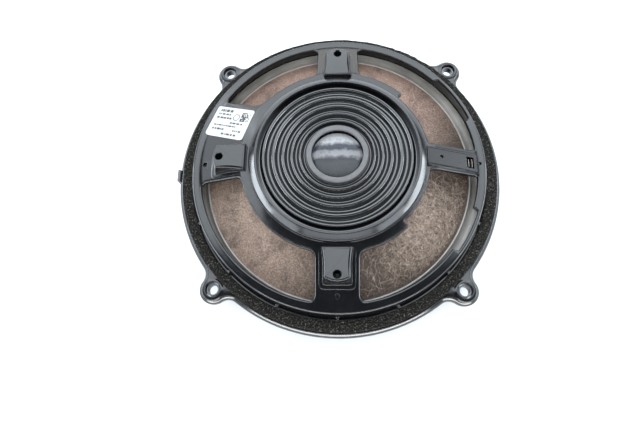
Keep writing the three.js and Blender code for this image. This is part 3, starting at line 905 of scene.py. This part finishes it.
def make_bridge():
    rim = lathe(filleted([(102.7, 0.1, 0.8), (112.1, 0.1, 1.0), (112.1, 7.8, 0.5),
                          (102.7, 7.8, 0.8)]))
    pieces = [build("rim", [rim], FRONT_BLACK)]
    pieces.append(disc("hub", 0.1, 5.7, [(32.8, 0.1, 1.0), (32.8, 5.7, 1.0)], FRONT_BLACK))
    outline = even([(29, -9), (104, -7), (104, 7), (29, 9)])
    arm = lofted([[(x, y, z) for x, y in inset(outline, d)] for d, z in (
        (0.8, 0.1), (0.2, 0.4), (0.0, 1.0), (1.1, 5.2), (1.4, 5.6), (2.1, 5.75))])
    for k in range(4):
        pieces.append(build("arm", [turned_by(arm, 45 + 90 * k)], FRONT_BLACK))
    holes = [(x, y, 3.4, 4.0) for x, y in SCREW_SPOTS] + [(x, y, 3.2, 3.2) for x, y in MOTOR_SPOTS]
    for piece in pieces:
        tools = []
        for x, y, radius, deep in holes:
            profile = [(0.0, -3.0), (radius, -3.0), (radius, deep), (1.9, deep), (1.9, 12.0),
                       (0.0, 12.0)]
            tools.append(tool(moved(lathe(profile, 32), x, y)))
        cut(piece, tools)
    return join("bridge_visual", pieces)


def make_screw(name, x, y, low, high, tip, head):
    """Pan head screw with a crossed recess; the head lies between low and high."""
    profile = [(0.0, low), (head * 0.6, low + 0.02), (head * 0.88, low + 0.3), (head, low + 0.9),
               (head, high - 0.1), (head - 0.1, high), (1.6, high)]
    z = high + 0.3
    while z < tip - 0.9:
        profile += [(1.62, z), (1.42, z + 0.28)]
        z += 0.56
    profile += [(1.4, tip - 0.6), (0.8, tip - 0.05), (0.0, tip)]
    # The body stands on the coil axis. Its place is x, y, where the recess cutters already are.
    screw = build(name, [lathe(profile, 40)], STEEL)
    bars = []
    for turn in (20, 110):
        c, s = polar(1, turn)
        corners = [(-1.9, -0.4), (1.9, -0.4), (1.9, 0.4), (-1.9, 0.4)]
        loop = [(x + u * c - v * s, y + u * s + v * c) for u, v in corners]
        bars.append(tool(lofted([[(u, v, z) for u, v in loop] for z in (low - 1.0, low + 0.95)])))
    return cut(screw, bars)


def make_yoke():
    profile = [(0.0, 5.9), *filleted([(30.0, 5.9, 0.8), (30.0, 33.0, 0.7), (21.3, 33.0, 0.6),
                                      (21.3, 12.0, 0.4)]), (0.0, 12.0)]
    return build("yoke_visual", [lathe(profile, 160)], STEEL)


def disc(name, low, high, corners, material):
    """Solid disc whose rounded corners are given as [r, z, reach]."""
    return build(name, [lathe([(0.0, low), *filleted(corners), (0.0, high)], 128)], material)


def make_sleeve(name, x, y):
    profile = filleted([(3.2, 19.1, 0.3), (4.55, 19.1, 0.2), (4.3, 24.8, 0.35), (3.2, 24.8, 0.4)])
    return build(name, [moved(lathe(profile, 64), x, y)], DARK_STEEL)


def make_terminal_block():
    outline = even([(82, -7.5), (93.4, -7.5), (93.4, 7.5), (82, 7.5)], 80)

    def level(d, z, fall, lift):
        return [(x, y, z - (x - 82) * fall / 11.4 + lift) for x, y in inset(outline, d)]

    body = build("terminal_block_visual", [lofted([
        level(0.4, 39.0, 3.8, 0.4), level(0.0, 39.0, 3.8, 0.0), level(0.0, 42.55, 4.7, 0.0),
        level(0.35, 42.55, 4.7, -0.35)])], FRONT_BLACK)
    tools = []
    for x in PIN_SPOTS:
        loop = [(x - 0.7, -3.3), (x + 0.7, -3.3), (x + 0.7, 3.3), (x - 0.7, 3.3)]
        tools.append(tool(lofted([[(u, v, z) for u, v in loop] for z in (38.1, 50)])))
    return cut(body, tools)


def make_pin(name, x):
    """Blade across the slot, with a tapered top edge."""
    brass = plated_steel(name + "_brass", (0.20, 0.18, 0.155), 0.42)
    levels = []
    for half, reach, z in ((0.38, 2.95, 38.2), (0.38, 2.95, 41.9), (0.38 - 0.2, 2.95 - 0.4, 42.35)):
        levels.append([(x - half, -reach, z), (x + half, -reach, z), (x + half, reach, z),
                       (x - half, reach, z)])
    return build(name, [lofted(levels)], brass)


def make_lead(name, y):
    """Braided lead: four thin strands twisted round one smooth line through the knots."""
    knots = [Vector(p) for p in ((81.7, y, 40.8), (70, y, 42.6), (52, y, 45.6), (34, y, 50.0),
                                 (20.3, y, 53.4))]
    line = []
    for i in range(len(knots) - 1):
        p0, p1, p2, p3 = (knots[max(0, min(len(knots) - 1, i + k))] for k in (-1, 0, 1, 2))
        for k in range(30):
            t = k / 30
            line.append(0.5 * (2 * p1 + (p2 - p0) * t + (2 * p0 - 5 * p1 + 4 * p2 - p3) * t * t
                               + (3 * p1 - p0 - 3 * p2 + p3) * t ** 3))
    line.append(knots[-1])
    section = [polar(0.36, 45 * q) for q in range(8)]
    parts = []
    for strand in range(4):
        rings = []
        for i, p in enumerate(line):
            twist = 0.42 * i + strand * math.pi / 2
            cy, cz = p.y + 0.38 * math.cos(twist), p.z + 0.38 * math.sin(twist)
            rings.append([(p.x + 0.25 * v, cy + u, cz + v) for u, v in section])
        parts.append(lofted(rings))
    return build(name, parts, LEAD_METAL, 70)


# ---------------------------------------------------------------- label
LABEL_CORNERS = [(-84.6, 46.6), (-56.2, 35.2), (-64.4, 12.6), (-93.6, 24.4)]


def label_point(u, v):
    """Point on the label: u runs along its top edge, v down, both from 0 to 1."""
    tl, tr, br, bl = (Vector(c) for c in LABEL_CORNERS)
    p = tl.lerp(tr, u).lerp(bl.lerp(br, u), v)
    return p.x, p.y


def label_height(x, y):
    return max(plate_z(max(math.hypot(x, y), HUB_R + 0.5)), PLATE_Z + 0.02)


def make_label():
    """Thin sheet with rounded corners that follows the plate."""
    columns, rows, radius = 60, 48, 0.075
    verts, faces = [], []
    for layer in (0.3, 0.05):
        for j in range(rows + 1):
            for i in range(columns + 1):
                u, v = i / columns, j / rows
                du, dv = max(0, radius - min(u, 1 - u)), max(0, radius - min(v, 1 - v))
                if du and dv:
                    k = radius / max(radius, math.hypot(du, dv))
                    u = u + (1 if u < 0.5 else -1) * du * (1 - k)
                    v = v + (1 if v < 0.5 else -1) * dv * (1 - k)
                x, y = label_point(u, v)
                verts.append((x, y, label_height(x, y) + layer))

    def at(layer, i, j):
        return layer * (columns + 1) * (rows + 1) + j * (columns + 1) + i

    def wall(a, b):
        faces.append((at(0, *a), at(0, *b), at(1, *b), at(1, *a)))

    for j in range(rows):
        for i in range(columns):
            a, b, c, d = (i, j), (i, j + 1), (i + 1, j + 1), (i + 1, j)
            faces.append((at(0, *a), at(0, *b), at(0, *c), at(0, *d)))
            faces.append((at(1, *a), at(1, *d), at(1, *c), at(1, *b)))
    for i in range(columns):
        wall((i, 0), (i + 1, 0))
        wall((i + 1, rows), (i, rows))
    for j in range(rows):
        wall((0, j + 1), (0, j))
        wall((columns, j), (columns, j + 1))
    return build("label_visual", [oriented(verts, faces)], label_paper(), 50)


def make_print():
    """Plain gray bars, a ring and a block of random dots in place of any wording."""
    rng = random.Random(4)
    verts, faces = [], []

    def bar(u0, v0, u1, v1):
        steps = max(1, int((u1 - u0) * 30))
        for k in range(steps):
            a, b = u0 + (u1 - u0) * k / steps, u0 + (u1 - u0) * (k + 1) / steps
            base = len(verts)
            for u, v in ((a, v0), (b, v0), (b, v1), (a, v1)):
                x, y = label_point(u, v)
                verts.append((x, y, label_height(x, y) + PRINT_LIFT))
            faces.append((base + 3, base + 2, base + 1, base))

    rows = [(0.08, 0.085, 0.10, 0.46), (0.22, 0.055, 0.08, 0.44), (0.34, 0.065, 0.08, 0.50),
            (0.49, 0.05, 0.50, 0.84), (0.60, 0.045, 0.10, 0.70), (0.72, 0.06, 0.10, 0.42),
            (0.73, 0.05, 0.66, 0.88), (0.86, 0.06, 0.40, 0.80)]
    for v, tall, left, right in rows:
        u = left
        while u < right:
            wide = rng.uniform(0.02, 0.09)
            bar(u, v, min(u + wide, right), v + tall)
            u += wide + rng.uniform(0.012, 0.03)
    for i in range(9):
        for j in range(9):
            if rng.random() < 0.6:
                u, v = 0.72 + i * 0.025, 0.12 + j * 0.034
                bar(u, v, u + 0.025, v + 0.034)
    for k in range(28):
        c, s = polar(1.0, 360 * k / 28)
        u, v = 0.605 + 0.075 * c, 0.31 + 0.10 * s
        bar(u - 0.008, v - 0.011, u + 0.008, v + 0.011)
    return build("label_print", [(verts, faces)], label_ink(), 80)


# ---------------------------------------------------------------- assembly
def place(obj, body, node=None):
    """Puts a piece on its body, in place of the node it shows."""
    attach(obj, body)
    if node:
        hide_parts(node)


def radial_weights(obj, inner, outer):
    """Works out each vertex's share between the inner and the outer radius, without storing it."""
    for v in obj.data.vertices:
        t = (math.hypot(v.co.x, v.co.y) / MM - inner) / (outer - inner)
        t = min(1.0, max(0.0, t))


def bend(obj, node, inner, outer):
    """Piece baked in place, in place of the node it shows; it is not attached to a body."""
    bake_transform(obj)
    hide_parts(node)
    radial_weights(obj, inner, outer)


place(make_basket(), "frame", "basket")
place(make_gasket(), "frame", "rear_gasket")
place(make_label(), "frame", "label")
place(make_print(), "frame")
for k, (sx, sy) in enumerate(((1, 1), (-1, 1), (-1, -1), (1, -1)), 1):
    place(make_sleeve(f"sleeve_{k}", sx * EAR, sy * EAR), "frame", f"ear_bushing_{k}")
place(make_front_ring(), "frame", "front_ring")
place(make_bridge(), "frame", "bridge")
place(make_yoke(), "frame", "yoke")
magnet = disc("magnet_visual", 12.1, 25.95, [(14.55, 12.1, 0.5), (14.55, 25.95, 0.5)], BRIGHT)
place(magnet, "frame", "magnet")
place(box_ring("shorting_ring_visual", 14.95, 17.05, 12.1, 25.95, 0.3, 128, BRIGHT),
      "frame", "shorting_ring")
pole = disc("pole_visual", 26.1, 33.0, [(17.25, 26.1, 0.4), (17.25, 33.0, 0.5)], STEEL)
place(pole, "frame", "pole_plate")
for k, (x, y) in enumerate(MOTOR_SPOTS, 1):
    screw = make_screw(f"motor_screw_visual_{k}", x, y, 0.9, 3.15, 14.4, 2.85)
    place(screw, "frame", f"motor_screw_{k}")
for k, (x, y) in enumerate(SCREW_SPOTS, 1):
    screw = make_screw(f"bridge_screw_visual_{k}", x, y, 1.2, 3.95, 16.9, 3.05)
    place(screw, "frame", f"bridge_screw_{k}")
place(make_terminal_block(), "frame", "terminal_block")
for k, x in enumerate(PIN_SPOTS, 1):
    place(make_pin(f"pin_{k}", x), "frame", f"terminal_pin_{k}")
place(make_cone(), "moving_assembly", "cone")
place(make_fibres(), "moving_assembly")
place(make_collar(), "moving_assembly", "collar")
place(make_cap(), "moving_assembly", "dust_cap")
place(box_ring("bobbin_visual", 17.95, 18.35, 21.6, 57.2, 0.1, 128, BRIGHT),
      "moving_assembly", "bobbin")
place(make_coil(), "moving_assembly", "voice_coil")
place(box_ring("seat_visual", 15.3, 17.8, 52.3, 53.3, 0.2, 96, FRONT_BLACK),
      "moving_assembly", "cap_seat")
bend(make_spider(), "spider", 20.6, 51.5)
bend(make_surround(), "surround", 91.4, 101.6)
for k, y in enumerate((-4.6, 4.6), 1):
    bend(make_lead(f"lead_{k}", y), f"tinsel_lead_{k}", 20.5, 81.0)


# ---------------------------------------------------------------- stage
COOL = (0.88, 0.955, 1.03)
FLOOR_HALF = 6


def area(name, at, aim, size, power, color=(1, 1, 1)):
    light = bpy.data.lights.new(name, "AREA")
    light.shape = "RECTANGLE"
    light.size, light.size_y = size
    light.energy = power
    light.color = color
    obj = bpy.data.objects.new(name, light)
    bpy.context.scene.collection.objects.link(obj)
    obj.location = at
    obj.rotation_mode = "QUATERNION"
    obj.rotation_quaternion = (Vector(aim) - Vector(at)).to_track_quat("-Z", "Y")
    return obj


floor_mesh = bpy.data.meshes.new("floor")
floor_mesh.from_pydata([(x * FLOOR_HALF, y * FLOOR_HALF, 0)
                        for x, y in ((-1, -1), (1, -1), (1, 1), (-1, 1))], [], [(0, 1, 2, 3)])
floor = bpy.data.objects.new("floor", floor_mesh)
bpy.context.scene.collection.objects.link(floor)
floor_paint = Nodes("floor_paint", (0.62, 0.63, 0.64), 0.8, specular=0.1)
floor_mesh.materials.append(floor_paint.material)

area("overhead", (0.0, 0.49, 1.2), (0, 0, 0), (2.0, 0.92), 26, COOL)
area("back_high", (0.0, 1.07, 0.90), (0, 0, 0), (2.2, 0.54), 15, COOL)
area("wall_back", (0.0, 1.6, 0.33), (0, 0, 0.05), (2.6, 0.6), 11)
for name, away, along, height, size, power in (
        ("strip", 1.38, -0.02, 0.38, (1.2, 0.36), 20),
        ("corner", 1.0, -0.75, 0.58, (0.7, 0.36), 4.5),
        ("wall", 1.15, 0.8, 0.55, (1.0, 0.7), 5.5)):
    area(name + "_left", (-away, along, height), (0, 0, 0.05), size, power, COOL)
    area(name + "_right", (away, along, height), (0, 0, 0.05), size, power, COOL)
area("strip_front", (0.0, -1.27, 0.86), (0, 0, 0.05), (1.7, 0.36), 7.4, COOL)
area("front_low", (0.0, -2.4, 0.2), (0, 0, 0.05), (4.4, 0.34), 100)
fill = area("fill", (0.0, -0.5, 1.25), (0, 0, 0), (1.5, 0.8), 16)
fill.visible_glossy = False

world = bpy.data.worlds.new("world")
bpy.context.scene.world = world
world.use_nodes = True
sky = world.node_tree.nodes["Background"]
sky.inputs["Color"].default_value = (0.9, 0.94, 1.0, 1)
sky.inputs["Strength"].default_value = 0.06

camera_data = bpy.data.cameras.new("camera")
camera_data.sensor_width = 36
camera_data.lens = 26.56
camera = bpy.data.objects.new("camera", camera_data)
bpy.context.scene.collection.objects.link(camera)
right = (0.99901, 0.01271, -0.04257)
up = (0.00088, 0.95232, 0.30511)
back = (0.04442, -0.30485, 0.95136)
spot = (0.002335, -0.129804, 0.296749 + PLATE_Z * MM)
camera.matrix_world = Matrix((*zip(right, up, back, spot), (0, 0, 0, 1)))
bpy.context.scene.camera = camera
bpy.context.scene.view_settings.view_transform = "Standard"
